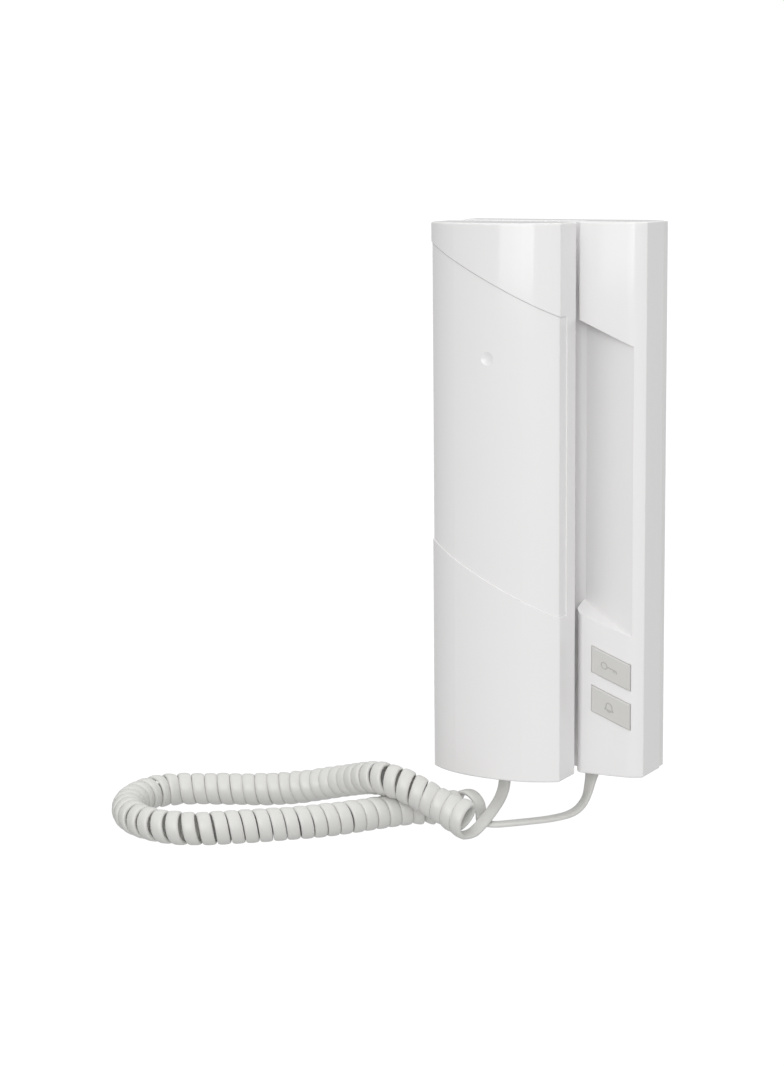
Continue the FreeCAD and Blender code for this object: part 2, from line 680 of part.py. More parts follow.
def sound_holes(z, radius, ring_r, count):
    """A centre hole and a ring of holes through a head's tip."""
    holes = [post(HAND_X, z, radius, HEAD_TIP + WALL + 1, HEAD_TIP - 1)]
    for step in range(count):
        angle = 2 * math.pi * step / count
        x = HAND_X + ring_r * math.cos(angle)
        holes.append(post(x, z + ring_r * math.sin(angle), radius, HEAD_TIP + WALL + 1, HEAD_TIP - 1))
    return holes


EAR_CAPSULE_R = 15.2
MIC_R = 4.85
BOOT_R = 6.4
GASKET = 1.5


def make_handset_rear():
    """Rear shell: a plate inside the front shell's walls, with the ear and mouth heads."""
    half = HAND_HALF_W - WALL - FIT_GAP
    high = HALF_H - WALL - FIT_GAP
    plate = box(HAND_X - half, HAND_X + half, HAND_REAR + REAR_PLATE, HAND_REAR, -high, high)

    def outside(edge, c):
        return abs(-c.y - HAND_REAR) < 0.01

    plate = fillet_where(plate, 0.8, outside)
    heads = ((HEAD_Z, EAR_TIP_R, EAR_ROOT_R), (-HEAD_Z, MOUTH_TIP_R, MOUTH_ROOT_R))
    body = plate
    for z, tip_r, root_r in heads:
        body = body.fuse(head_shell(z, tip_r, root_r))
    for z, tip_r, root_r in heads:
        body = body.cut(head_hollow(z, tip_r, root_r))
    back = HEAD_TIP + WALL
    for z, inner, outer, high_end in ((HEAD_Z, EAR_CAPSULE_R, 16.4, 22.0), (-HEAD_Z, BOOT_R, 7.6, 21.0)):
        collar = post(HAND_X, z, outer, high_end, back - 0.5).cut(post(HAND_X, z, inner + 0.05, 30, back))
        body = body.fuse(collar)
    holes = sound_holes(HEAD_Z, 1.0, 6.0, 8) + sound_holes(-HEAD_Z, 0.7, 2.6, 4)
    for hole in holes:
        body = body.cut(hole)
    for z in (-HAND_SCREW_Z, HAND_SCREW_Z):
        body = body.cut(post(HAND_X, z, 1.5, 40, 20)).cut(post(HAND_X, z, 2.7, HAND_REAR + 1.2, 20))
    body = body.cut(box(HAND_X - 5.7, HAND_X + 5.7, 40, HAND_REAR + 1.2, -high - 1, -HALF_H + 17))
    return body.removeSplitter()


def make_handset_screws():
    """Two screws from the rear shell into the front shell's posts."""
    screws = []
    for z in (-HAND_SCREW_Z, HAND_SCREW_Z):
        head = post(HAND_X, z, 2.5, HAND_REAR + 1.2, HAND_REAR + 0.1)
        screw = head.fuse(post(HAND_X, z, 1.2, 41.0, HAND_REAR + 0.5))
        slot = box(HAND_X - 1.8, HAND_X + 1.8, HAND_REAR + 0.6, HAND_REAR, z - 0.3, z + 0.3)
        cross = box(HAND_X - 0.3, HAND_X + 0.3, HAND_REAR + 0.6, HAND_REAR, z - 1.8, z + 1.8)
        screws.append(screw.cut(slot).cut(cross).removeSplitter())
    return screws


def make_earpiece():
    """Receiver capsule: a stepped can with a magnet boss at the back."""
    face = HEAD_TIP + WALL + GASKET
    can = post(HAND_X, HEAD_Z, EAR_CAPSULE_R, face + 3.5, face)
    return joined(can, post(HAND_X, HEAD_Z, 11.0, face + 7.0, face), post(HAND_X, HEAD_Z, 6.0, face + 8.5, face))


def make_gasket():
    """Foam ring between the capsule and the head's tip."""
    face = HEAD_TIP + WALL
    ring = post(HAND_X, HEAD_Z, 14.8, face + GASKET, face)
    return ring.cut(post(HAND_X, HEAD_Z, 10.0, face + 5, face - 1))


def make_microphone():
    """Electret capsule."""
    face = HEAD_TIP + WALL + 0.8
    return post(HAND_X, -HEAD_Z, MIC_R, face + 5.0, face)


def make_microphone_boot():
    """Rubber cup around the microphone with a sound hole in its floor."""
    face = HEAD_TIP + WALL
    cup = post(HAND_X, -HEAD_Z, BOOT_R, face + 6.4, face)
    cup = cup.cut(post(HAND_X, -HEAD_Z, MIC_R, face + 10, face + 0.8))
    return cup.cut(post(HAND_X, -HEAD_Z, 3.4, face + 1, face - 1))


# ================================================================ cords
def tube(name, points, radius):
    """A round tube along straight runs joined by tangent arcs; prints its radii and volume."""
    route = [Vector(*p) for p in points]
    edges = []
    here = route[0]
    radii = []
    for before, corner, after in zip(route, route[1:], route[2:]):
        into = (corner - before).normalize()
        out = (after - corner).normalize()
        reach = 0.45 * min((corner - before).Length, (after - corner).Length)
        half_turn = into.getAngle(out) / 2
        arc_r = reach / math.tan(half_turn)
        radii.append(round(arc_r, 1))
        start = corner - into * reach
        end = corner + out * reach
        middle_dir = (out - into).normalize()
        middle = corner + middle_dir * (arc_r / math.cos(half_turn) - arc_r)
        edges.append(Part.LineSegment(here, start).toShape())
        edges.append(Part.Arc(start, middle, end).toShape())
        here = end
    edges.append(Part.LineSegment(here, route[-1]).toShape())
    path = Part.Wire(edges)
    section = Part.Wire(Part.makeCircle(radius, route[0], route[1] - route[0]))
    solid = path.makePipeShell([section], True, False)
    wanted = math.pi * radius ** 2 * path.Length
    print(name, "length", round(path.Length, 1), "radii", radii,
          "volume / (section x length)", round(solid.Volume / wanted, 4))
    return solid


def make_leads(points):
    """A thin wire pair drawn as one tube."""
    return tube("leads", points, 0.6)


def main():
    """Build and write every node."""
    os.makedirs("parts", exist_ok=True)
    save("wall_plate", make_wall_plate())
    save("base_cover", make_base_cover())
    save("cover_screw", make_cover_screw())
    for name, top_z in BUTTON_TOPS.items():
        x, z = button_centre(top_z)
        save(name + "_button", make_button(top_z))
        save(name + "_switch", make_tact_switch(x, z))
        save(name + "_button_spring", make_spring(x, z, 4.8, 0.5, FLANGE_BACK, BOARD_FRONT, 6))
    save("circuit_board", make_board())
    save("circuit_board_screws", *make_board_screws())
    save("board_components", *make_board_components())
    save("hook_plunger", make_hook_plunger())
    hook_back = WELL_DEPTH - WALL - 1.05 - HOOK_TRAVEL
    save("hook_spring", make_spring(HOOK_X, HOOK_Z, 2.2, 0.6, hook_back, WALL, 4))
    switch_x = HOOK_X + 5.8
    save("hook_switch", box(switch_x - 2.2, switch_x + 2.2, hook_back - 0.05, BOARD_FRONT,
                            HOOK_Z - 2.2, HOOK_Z + 2.2))
    save("buzzer", make_buzzer(27.5, -35.5))
    save("terminal_block", make_terminal_block())
    save("terminal_screws", *make_terminal_screws())
    save("base_jack", make_jack(BASE_EXIT[0], -BASE_EXIT[1]))
    save("base_plug", make_plug(BASE_EXIT[0], -BASE_EXIT[1]))

    save("handset_front_cover", make_handset_front())
    save("handset_rear_cover", make_handset_rear())
    save("handset_screws", *make_handset_screws())
    save("earpiece_capsule", make_earpiece())
    save("earpiece_gasket", make_gasket())
    save("microphone_capsule", make_microphone())
    save("microphone_boot", make_microphone_boot())
    save("handset_jack", make_jack(HAND_X, -HAND_EXIT[1]))
    save("handset_plug", make_plug(HAND_X, -HAND_EXIT[1]))
    jack_top = -HALF_H + 2.1 + JACK_L
    save("earpiece_leads", make_leads([
        (HAND_X - 3, -34.5, jack_top), (HAND_X - 4.5, -35.5, jack_top + 9), (HAND_X - 9, -36, jack_top + 24),
        (HAND_X - 10, -35.5, -20), (HAND_X - 9, -35, 20), (HAND_X - 7.5, -33, 50),
        (HAND_X - 4.5, -29, 66), (HAND_X - 4.0, -25.6, 70)]))
    save("microphone_leads", make_leads([
        (HAND_X + 3, -34.5, jack_top), (HAND_X + 3.2, -33.0, jack_top + 6),
        (HAND_X + 2.2, -28.0, jack_top + 11.5), (HAND_X + 1.0, -21.5, -HEAD_Z)]))

    save("handset_cord_tail", tube("handset_cord_tail", HAND_TAIL, TAIL_R))
    save("handset_coil_end", tube("handset_coil_end", COIL_HAND_END, COIL_R))
    save("coiled_cord", tube("coiled_cord", COIL_REST, COIL_R))
    save("base_cord_tail", tube("base_cord_tail", BASE_TAIL, TAIL_R))


main()
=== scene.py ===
"""Looks of a slim door-entry wall phone: glossy white shells, grey push buttons and a flat curly cord.

Everything is in metres, in the part's own frame: the origin is on the wall behind the phone's middle,
+X is to the right as seen from the front, +Y goes into the wall and +Z is up.
"""

import json
import math

import bmesh
import bpy
import numpy as np
from mathutils import Matrix, Vector


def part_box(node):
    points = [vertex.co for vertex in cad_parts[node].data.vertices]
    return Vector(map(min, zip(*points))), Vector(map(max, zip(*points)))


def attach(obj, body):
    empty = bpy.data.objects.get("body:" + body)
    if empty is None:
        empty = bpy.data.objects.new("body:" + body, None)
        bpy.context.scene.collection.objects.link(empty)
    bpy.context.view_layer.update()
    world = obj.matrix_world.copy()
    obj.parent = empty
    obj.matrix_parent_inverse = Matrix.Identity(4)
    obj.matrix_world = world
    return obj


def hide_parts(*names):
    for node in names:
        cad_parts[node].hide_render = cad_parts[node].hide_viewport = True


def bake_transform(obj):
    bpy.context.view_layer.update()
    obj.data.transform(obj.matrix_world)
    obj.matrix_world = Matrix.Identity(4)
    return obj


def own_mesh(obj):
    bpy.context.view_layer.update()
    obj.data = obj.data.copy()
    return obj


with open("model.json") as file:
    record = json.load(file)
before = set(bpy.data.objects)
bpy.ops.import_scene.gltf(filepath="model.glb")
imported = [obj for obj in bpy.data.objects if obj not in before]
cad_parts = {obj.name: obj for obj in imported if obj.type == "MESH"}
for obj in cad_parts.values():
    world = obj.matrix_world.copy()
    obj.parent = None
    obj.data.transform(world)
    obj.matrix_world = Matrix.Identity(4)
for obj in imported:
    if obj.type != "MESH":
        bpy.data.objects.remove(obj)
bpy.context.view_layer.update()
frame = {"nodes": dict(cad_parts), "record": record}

MM = 0.001

# ---------------------------------------------------------------- camera
CAMERA_AT = (0.3888, -0.8243, 0.1360)
CAMERA_YAW = math.radians(29.64)
CAMERA_DOWN = math.radians(9.48)
CAMERA_ROLL = math.radians(-0.54)
CAMERA_LENS = 80.95
SENSOR = 36.0
CLIP_START = 0.01

# ---------------------------------------------------------------- floor and button sizes
FLOOR_Z = -121.5 * MM
FLOOR_MIDDLE = Vector((-0.06, -0.08, FLOOR_Z))
FLOOR_HALF = 0.30
CROWN_DEPTH = 25.7 * MM
CROWN_RADIUS = 320.0 * MM
BUTTON_PROUD = 0.6 * MM
MARK_SLOPE = -0.41
MARK_THICK = 0.19 * MM
STROKE_STEPS = 24

# ---------------------------------------------------------------- light
# Brightness of the surroundings, with the part of each direction over which it grows.
ROOM_FRONT = 0.40
ROOM_BACK = 0.24
ROOM_TOP = 0.84
TOP_SPAN = (0.1, 0.9)
ROOM_BOUNCE = 0.35
BOUNCE_SPAN = (-0.1, -0.9)
ROOM_REAR = 0.30
REAR_SPAN = (0.4, 0.9)
BACKDROP = 1.05
SOFTBOX_FAR = 1.20
SOFTBOX_LOW = 0.005
SOFTBOX_HIGH = 1.20
SOFTBOX_EDGES = [-0.330, -0.105, 0.400]
SOFTBOX_GLOW = [2.1, 2.8]
KEY_AT = (0.82, -1.54, 0.45)
KEY_SIZE = 1.0
KEY_POWER = 13.4

# ---------------------------------------------------------------- materials
NOISE_SPAN = (0.3, 0.7)
NOISE_ROUGH = 0.5
# Socket numbers of a mix node, for plain values and for colours.
FLOAT_MIX_LOW, FLOAT_MIX_HIGH = 2, 3
COLOUR_MIX_LOW, COLOUR_MIX_HIGH, COLOUR_MIX_RESULT = 6, 7, 2
CLOUD_SCALE, CLOUD_DETAIL = 18.0, 3.0
GRAIN_DETAIL = 2.0
STEEL_GREY, STEEL_ROUGH = (0.60, 0.60, 0.60), (0.22, 0.38)
STEEL_GRAIN, STEEL_DETAIL, STEEL_RELIEF = 900.0, 3.0, 0.004 * MM
PAPER_SCALE, PAPER_DARK, PAPER_LIGHT = 30.0, (0.05, 0.05, 0.05), (0.06, 0.06, 0.06)

# Each plastic, rubber or foam: darker shade, lighter shade, roughness, grain scale, relief, specular.
PLASTICS = {
    "white_gloss": ((0.83, 0.822, 0.822), (0.85, 0.842, 0.842), (0.09, 0.13), 1500, 0.001 * MM, 0.5),
    "white_matte": ((0.78, 0.78, 0.775), (0.81, 0.81, 0.805), (0.42, 0.55), 2500, 0.01 * MM, 0.5),
    "button_grey": ((0.595, 0.590, 0.570), (0.625, 0.620, 0.600), (0.40, 0.52), 3500, 0.01 * MM, 0.5),
    "button_mark": ((0.45, 0.445, 0.43), (0.47, 0.465, 0.45), (0.45, 0.55), 3500, 0.01 * MM, 0.5),
    "cord_white": ((0.63, 0.628, 0.605), (0.68, 0.678, 0.655), (0.34, 0.46), 1800, 0.008 * MM, 0.5),
    "board_green": ((0.02, 0.10, 0.05), (0.03, 0.13, 0.06), (0.30, 0.42), 1200, 0.01 * MM, 0.5),
    "black_plastic": ((0.015, 0.015, 0.015), (0.03, 0.03, 0.03), (0.35, 0.5), 2500, 0.01 * MM, 0.5),
    "terminal_green": ((0.03, 0.20, 0.08), (0.04, 0.24, 0.10), (0.25, 0.35), 1500, 0.005 * MM, 0.5),
    "plug_clear": ((0.66, 0.67, 0.66), (0.70, 0.71, 0.70), (0.12, 0.20), 1200, 0.003 * MM, 0.5),
    "soft_foam": ((0.02, 0.02, 0.02), (0.05, 0.05, 0.05), (0.85, 0.95), 900, 0.15 * MM, 0.2),
    "soft_rubber": ((0.03, 0.03, 0.03), (0.05, 0.05, 0.05), (0.60, 0.75), 2000, 0.01 * MM, 0.3),
    "wire_red": ((0.40, 0.02, 0.02), (0.48, 0.03, 0.03), (0.30, 0.40), 1500, 0.005 * MM, 0.5),
}

# ---------------------------------------------------------------- cord
RIBBON_WIDE = 4.85 * MM
RIBBON_THICK = 2.0 * MM
RIBBON_ROUND = 2.7
RIBBON_SIDES = 20
LAST_TURN_SHORT = math.radians(75)
FLARE_RUN = 7.0 * MM
FLARE_CURVE = 1.5
EXIT_FLARE = 0.35
TURN_STEPS = 24
STEP = 0.4 * MM
ROUTE_ORDER, ROUTE_STEPS = 3, 32
SEED = 7
# How much the turns differ from each other.
RADIUS_WANDER = 0.14 * MM
LEAN_WANDER = 0.20 * MM
ANGLE_WANDER = 3.0
# Where a bend leaves a turn less room than its width, it tilts over the next one.
MOST_SHORT = 0.4
FULL_TILT_SHORT = 0.12
MOST_TILT = 0.9
OVERLAP_ROOM = 1.05
COIL_LEAD_IN = 4 * MM
COIL_LEAD_OUT = 3.5 * MM

TAIL_LOW = FLOOR_Z + 1.3 * MM
COIL_LOW = FLOOR_Z + 6.3 * MM
BASE_EXIT = (0.0145, -0.0117, -0.1035)
HAND_EXIT = (-0.0125, -0.0336, -0.1035)

HAND_TAIL = [
    HAND_EXIT,
    (-0.0125, -0.0336, -0.1088),
    (-0.0120, -0.0380, -0.1132),
    (-0.0116, -0.0445, -0.1158),
    (-0.0110, -0.0515, -0.1176),
    (-0.0104, -0.0588, -0.1192),
]
COIL = [
    (-0.0101, -0.0690, -0.1143),
    (-0.0207, -0.0677, -0.1110),
    (-0.0335, -0.0697, -0.1047),
    (-0.0430, -0.0701, -0.1022),
    (-0.0530, -0.0668, -0.1038),
    (-0.0635, -0.0616, -0.1073),
    (-0.0749, -0.0588, -0.1106),
    (-0.0880, -0.0597, -0.1140),
    (-0.1010, -0.0650, COIL_LOW),
    (-0.1140, -0.0708, COIL_LOW),
    (-0.1260, -0.0765, COIL_LOW),
    (-0.1357, -0.0825, COIL_LOW),
    (-0.1392, -0.0937, COIL_LOW),
    (-0.1370, -0.1055, COIL_LOW),
    (-0.1300, -0.1160, COIL_LOW),
    (-0.1200, -0.1230, COIL_LOW),
    (-0.1075, -0.1257, COIL_LOW),
    (-0.0950, -0.1225, COIL_LOW),
    (-0.0835, -0.1133, COIL_LOW),
    (-0.0725, -0.1040, COIL_LOW),
    (-0.0620, -0.0942, COIL_LOW),
    (-0.0525, -0.0825, COIL_LOW),
    (-0.0443, -0.0697, COIL_LOW),
    (-0.0360, -0.0582, COIL_LOW),
    (-0.0285, -0.0545, COIL_LOW),
    (-0.0232, -0.0518, COIL_LOW),
    (-0.0205, -0.0450, COIL_LOW),
]
BASE_TAIL = [
    (-0.0130, -0.0508, TAIL_LOW),
    (-0.0085, -0.0515, TAIL_LOW),
    (-0.0035, -0.0465, TAIL_LOW),
    (0.0025, -0.0400, TAIL_LOW),
    (0.0078, -0.0336, TAIL_LOW),
    (0.0124, -0.0244, -0.1198),
    (0.0138, -0.0168, -0.1160),
    (0.0140, -0.0135, -0.1090),
    BASE_EXIT,
]
SPLIT_AT = Vector((-0.0749, -0.0588, -0.1106))

# Along the coil, as shares of its length: distance between turns and radius of their centre line, in mm.
PITCH_AT = [0.00, 0.05, 0.12, 0.22, 0.36, 0.44, 0.50, 0.62, 0.72, 0.80, 0.95, 0.97, 1.00]
PITCHES = [5.0, 5.1, 5.35, 5.0, 5.0, 5.5, 5.7, 5.6, 5.2, 5.0, 5.0, 6.5, 8.0]
RADIUS_AT = [0.000, 0.010, 0.024, 0.034, 0.975, 0.99, 1.000]
RADII = [6.1, 6.0, 5.4, 5.2, 5.2, 5.0, 4.6]

# The flat cord's wide direction along its tails, as shares of their length, beside the coil's own end.
HAND_TURN_AT = [0, 0.5, 1]
HAND_TURNS = [(1, 0, 0), (1, -0.05, -0.1)]
BASE_TURN_AT = [0, 0.08, 0.16, 0.25, 0.4, 0.66, 0.82, 1]
BASE_TURNS = [
    (-0.6, -0.8, 0), (-0.4, -0.9, 0), (0, -1, 0), (0.73, -0.68, 0),
    (0.8, -0.6, 0), (0.80, -0.55, 0.1), (0.97, 0.26, 0),
]


def show(name, data):
    """A new object in the scene."""
    piece = bpy.data.objects.new(name, data)
    bpy.context.scene.collection.objects.link(piece)
    return piece


def mesh_of(curve):
    """A curve's mesh, after which the curve itself is removed."""
    holder = bpy.data.objects.new("holder", curve)
    mesh = bpy.data.meshes.new_from_object(holder)
    bpy.data.objects.remove(holder)
    bpy.data.curves.remove(curve)
    return mesh


# ================================================================ camera, floor and light
def make_camera():
    """The camera stands in front, to the right and a little above."""
    forward = Vector((
        -math.sin(CAMERA_YAW) * math.cos(CAMERA_DOWN),
        math.cos(CAMERA_YAW) * math.cos(CAMERA_DOWN),
        -math.sin(CAMERA_DOWN),
    ))
    level = Vector((math.cos(CAMERA_YAW), math.sin(CAMERA_YAW), 0))
    upright = level.cross(forward)
    right = level * math.cos(CAMERA_ROLL) + upright * math.sin(CAMERA_ROLL)
    up = upright * math.cos(CAMERA_ROLL) - level * math.sin(CAMERA_ROLL)
    data = bpy.data.cameras.new("camera")
    data.lens = CAMERA_LENS
    data.sensor_width = SENSOR
    data.clip_start = CLIP_START
    camera = show("camera", data)
    turn = Matrix((right, up, -forward)).transposed().to_4x4()
    camera.matrix_world = Matrix.Translation(CAMERA_AT) @ turn
    bpy.context.scene.camera = camera


def make_floor(material):
    """A plain white floor under the cord, which throws no light up onto the phone."""
    mesh = bpy.data.meshes.new("floor")
    signs = ((-1, -1), (1, -1), (1, 1), (-1, 1))
    corners = [tuple(FLOOR_MIDDLE + Vector((x, y, 0)) * FLOOR_HALF) for x, y in signs]
    mesh.from_pydata(corners, [], [(0, 1, 2, 3)])
    mesh.materials.append(material)
    floor = show("floor", mesh)
    floor.visible_diffuse = False
    floor.visible_glossy = False


def add_softbox(name, at, towards, wide, high, power):
    """A rectangular soft light."""
    data = bpy.data.lights.new(name, "AREA")
    data.shape = "RECTANGLE"
    data.size = wide
    data.size_y = high
    data.energy = power
    lamp = show(name, data)
    lamp.location = at
    aim = Vector(towards) - Vector(at)
    lamp.rotation_euler = aim.to_track_quat("-Z", "Y").to_euler()
    return lamp


def ramp(nodes, links, source, span, low, high):
    """A value that goes from low to high as the source goes through its span."""
    spread = nodes.new("ShaderNodeMapRange")
    spread.inputs["From Min"].default_value = span[0]
    spread.inputs["From Max"].default_value = span[1]
    spread.inputs["To Min"].default_value = low
    spread.inputs["To Max"].default_value = high
    links.new(source, spread.inputs["Value"])
    return spread.outputs["Result"]


def total_of(nodes, links, first, second):
    """The sum of two values."""
    total = nodes.new("ShaderNodeMath")
    links.new(first, total.inputs[0])
    links.new(second, total.inputs[1])
    return total.outputs[0]


def make_light():
    """White surroundings, brightest above, a soft key light and tall softboxes in front for the gleam."""
    scene = bpy.context.scene
    scene.view_settings.view_transform = "Standard"
    world = bpy.data.worlds.new("studio")
    scene.world = world
    world.use_nodes = True
    nodes = world.node_tree.nodes
    links = world.node_tree.links
    background = nodes["Background"]
    place = nodes.new("ShaderNodeTexCoord")
    split = nodes.new("ShaderNodeSeparateXYZ")
    links.new(place.outputs["Generated"], split.inputs["Vector"])
    around = ramp(nodes, links, split.outputs["Y"], (-1.0, 1.0), ROOM_FRONT, ROOM_BACK)
    above = ramp(nodes, links, split.outputs["Z"], TOP_SPAN, 0.0, ROOM_TOP)
    below = ramp(nodes, links, split.outputs["Z"], BOUNCE_SPAN, 0.0, ROOM_BOUNCE)
    behind = ramp(nodes, links, split.outputs["Y"], REAR_SPAN, 0.0, ROOM_REAR)
    room = total_of(nodes, links, around, total_of(nodes, links, above, below))
    room = total_of(nodes, links, room, behind)
    path = nodes.new("ShaderNodeLightPath")
    level = nodes.new("ShaderNodeMix")
    level.data_type = "FLOAT"
    level.inputs[FLOAT_MIX_HIGH].default_value = BACKDROP
    links.new(path.outputs["Is Camera Ray"], level.inputs[0])
    links.new(room, level.inputs[FLOAT_MIX_LOW])
    links.new(level.outputs[0], background.inputs["Strength"])
    background.inputs["Color"].default_value = (1, 1, 1, 1)
    key = add_softbox("key", KEY_AT, (0, 0, 0), KEY_SIZE, KEY_SIZE, KEY_POWER)
    key.visible_glossy = False
    height = SOFTBOX_LOW + SOFTBOX_HIGH / 2
    for left, right, glow in zip(SOFTBOX_EDGES, SOFTBOX_EDGES[1:], SOFTBOX_GLOW):
        middle = (left + right) / 2
        power = glow * math.pi * (right - left) * SOFTBOX_HIGH
        gleam = add_softbox("front_softbox", (middle, -SOFTBOX_FAR, height), (middle, 0, height),
                            right - left, SOFTBOX_HIGH, power)
        gleam.visible_diffuse = False


# ================================================================ materials
def new_material(name):
    """A material with its nodes and links ready, and its main shader."""
    material = bpy.data.materials.new(name)
    material.use_nodes = True
    tree = material.node_tree
    return material, tree.nodes, tree.links, tree.nodes["Principled BSDF"]


def add_noise(nodes, links, scale, detail):
    """A noise texture in object space, in metres."""
    place = nodes.new("ShaderNodeTexCoord")
    noise = nodes.new("ShaderNodeTexNoise")
    noise.inputs["Scale"].default_value = scale
    noise.inputs["Detail"].default_value = detail
    noise.inputs["Roughness"].default_value = NOISE_ROUGH
    links.new(place.outputs["Object"], noise.inputs["Vector"])
    return noise


def vary(nodes, links, source, low, high, target):
    """Drive a shader input between two values with a texture."""
    links.new(ramp(nodes, links, source, NOISE_SPAN, low, high), target)


def tint(nodes, links, source, dark, light, target):
    """Blend two close colours with a texture."""
    mix = nodes.new("ShaderNodeMix")
    mix.data_type = "RGBA"
    mix.inputs[COLOUR_MIX_LOW].default_value = (*dark, 1)
    mix.inputs[COLOUR_MIX_HIGH].default_value = (*light, 1)
    links.new(source, mix.inputs[0])
    links.new(mix.outputs[COLOUR_MIX_RESULT], target)


def add_bump(nodes, links, source, height, shader):
    """Fine relief from a texture, its height in metres."""
    bump = nodes.new("ShaderNodeBump")
    bump.inputs["Strength"].default_value = 1.0
    bump.inputs["Distance"].default_value = height
    links.new(source, bump.inputs["Height"])
    links.new(bump.outputs["Normal"], shader.inputs["Normal"])


def plastic(name, dark, light, rough, grain, relief, specular):
    """Moulded plastic: close shades, uneven gloss and a fine moulding grain."""
    material, nodes, links, shader = new_material(name)
    cloud = add_noise(nodes, links, CLOUD_SCALE, CLOUD_DETAIL)
    fine = add_noise(nodes, links, grain, GRAIN_DETAIL)
    tint(nodes, links, cloud.outputs["Fac"], dark, light, shader.inputs["Base Color"])
    vary(nodes, links, cloud.outputs["Fac"], rough[0], rough[1], shader.inputs["Roughness"])
    add_bump(nodes, links, fine.outputs["Fac"], relief, shader)
    shader.inputs["Specular IOR Level"].default_value = specular
    return material


def plated_steel():
    """Plated steel with a fine uneven grain."""
    material, nodes, links, shader = new_material("steel")
    grain = add_noise(nodes, links, STEEL_GRAIN, STEEL_DETAIL)
    shader.inputs["Metallic"].default_value = 1.0
    shader.inputs["Base Color"].default_value = (*STEEL_GREY, 1)
    vary(nodes, links, grain.outputs["Fac"], STEEL_ROUGH[0], STEEL_ROUGH[1], shader.inputs["Roughness"])
    add_bump(nodes, links, grain.outputs["Fac"], STEEL_RELIEF, shader)
    return material


def floor_material():
    """White paper that glows evenly, as a brightly lit studio floor does."""
    material, nodes, links, shader = new_material("floor_white")
    paper = add_noise(nodes, links, PAPER_SCALE, GRAIN_DETAIL)
    tint(nodes, links, paper.outputs["Fac"], PAPER_DARK, PAPER_LIGHT, shader.inputs["Base Color"])
    shader.inputs["Roughness"].default_value = 1.0
    shader.inputs["Specular IOR Level"].default_value = 0.0
    shader.inputs["Emission Color"].default_value = (1, 1, 1, 1)
    shader.inputs["Emission Strength"].default_value = 1.0
    return material


def make_materials():
    """One material for each slot of the record, and one for the marks on the buttons."""
    materials = {name: plastic(name, *look) for name, look in PLASTICS.items()}
    materials["steel"] = plated_steel()
    return materials


def dress_frame(materials):
    """Give every CAD node the detailed material of its slot."""
    slot_of = {entry["node"]: entry["material_slot"] for entry in frame["record"]["subparts"]}
    for name, node in frame["nodes"].items():
        for held in node.material_slots:
            held.material = materials[slot_of[name]]


# ================================================================ lines
def read_route(points):
    """Points along the smooth line of a route's control points."""
    curve = bpy.data.curves.new("route", "CURVE")
    curve.dimensions = "3D"
    spline = curve.splines.new("NURBS")
    spline.points.add(len(points) - 1)
    for point, place in zip(spline.points, points):
        point.co = (*place, 1)
    spline.order_u = ROUTE_ORDER
    spline.use_endpoint_u = True
    spline.resolution_u = ROUTE_STEPS
    mesh = mesh_of(curve)
    line = np.array([vertex.co[:] for vertex in mesh.vertices])
    bpy.data.meshes.remove(mesh)
    return line


def run_along(line):
    """Distance along a line at each of its points."""
    return np.concatenate([[0.0], np.cumsum(np.linalg.norm(np.diff(line, axis=0), axis=1))])


def even(line, step):
    """The same line with evenly spaced points."""
    along = run_along(line)
    wanted = np.linspace(0, along[-1], max(2, round(along[-1] / step) + 1))
    return np.stack([np.interp(wanted, along, line[:, k]) for k in range(3)], axis=1)


def unit(vectors):
    """Vectors scaled to length one."""
    return vectors / np.linalg.norm(vectors, axis=-1, keepdims=True)


def headings(line):
    """Unit direction of travel at each point of a line."""
    return unit(np.gradient(line, axis=0))


def square_to(vectors, directions):
    """Vectors made square to the directions, at length one."""
    return unit(vectors - directions * (vectors * directions).sum(-1, keepdims=True))


def carried(directions, first):
    """A side vector carried along a line without twisting."""
    side = square_to(np.array(first), directions[0])
    sides = [side]
    for direction in directions[1:]:
        side = square_to(side, direction)
        sides.append(side)
    return np.array(sides)


# ================================================================ marks on the buttons
def round_stroke(x, z, radius, start, end):
    """Points in millimetres along part of a circle, between two angles in degrees."""
    angles = [math.radians(start + (end - start) * k / STROKE_STEPS) for k in range(STROKE_STEPS + 1)]
    return [(x + radius * math.cos(a), z + radius * math.sin(a)) for a in angles]


def key_strokes():
    """A plain key: bow, shank and two teeth."""
    return [
        round_stroke(-2.0, 0.0, 1.15, 0, 360),
        [(-0.85, 0.0), (2.9, 0.0)],
        [(1.8, 0.0), (1.8, -0.95)],
        [(2.8, 0.0), (2.8, -0.95)],
    ]


def bell_strokes():
    """A plain bell: dome, flared rim and clapper."""
    top = round_stroke(0.0, 0.35, 1.15, 180, 0)
    dome = [(-1.7, -1.2), (-1.2, -0.6)] + top + [(1.2, -0.6), (1.7, -1.2)]
    return [dome, [(-1.7, -1.2), (1.7, -1.2)], round_stroke(0.0, -1.35, 0.5, 190, 350)]


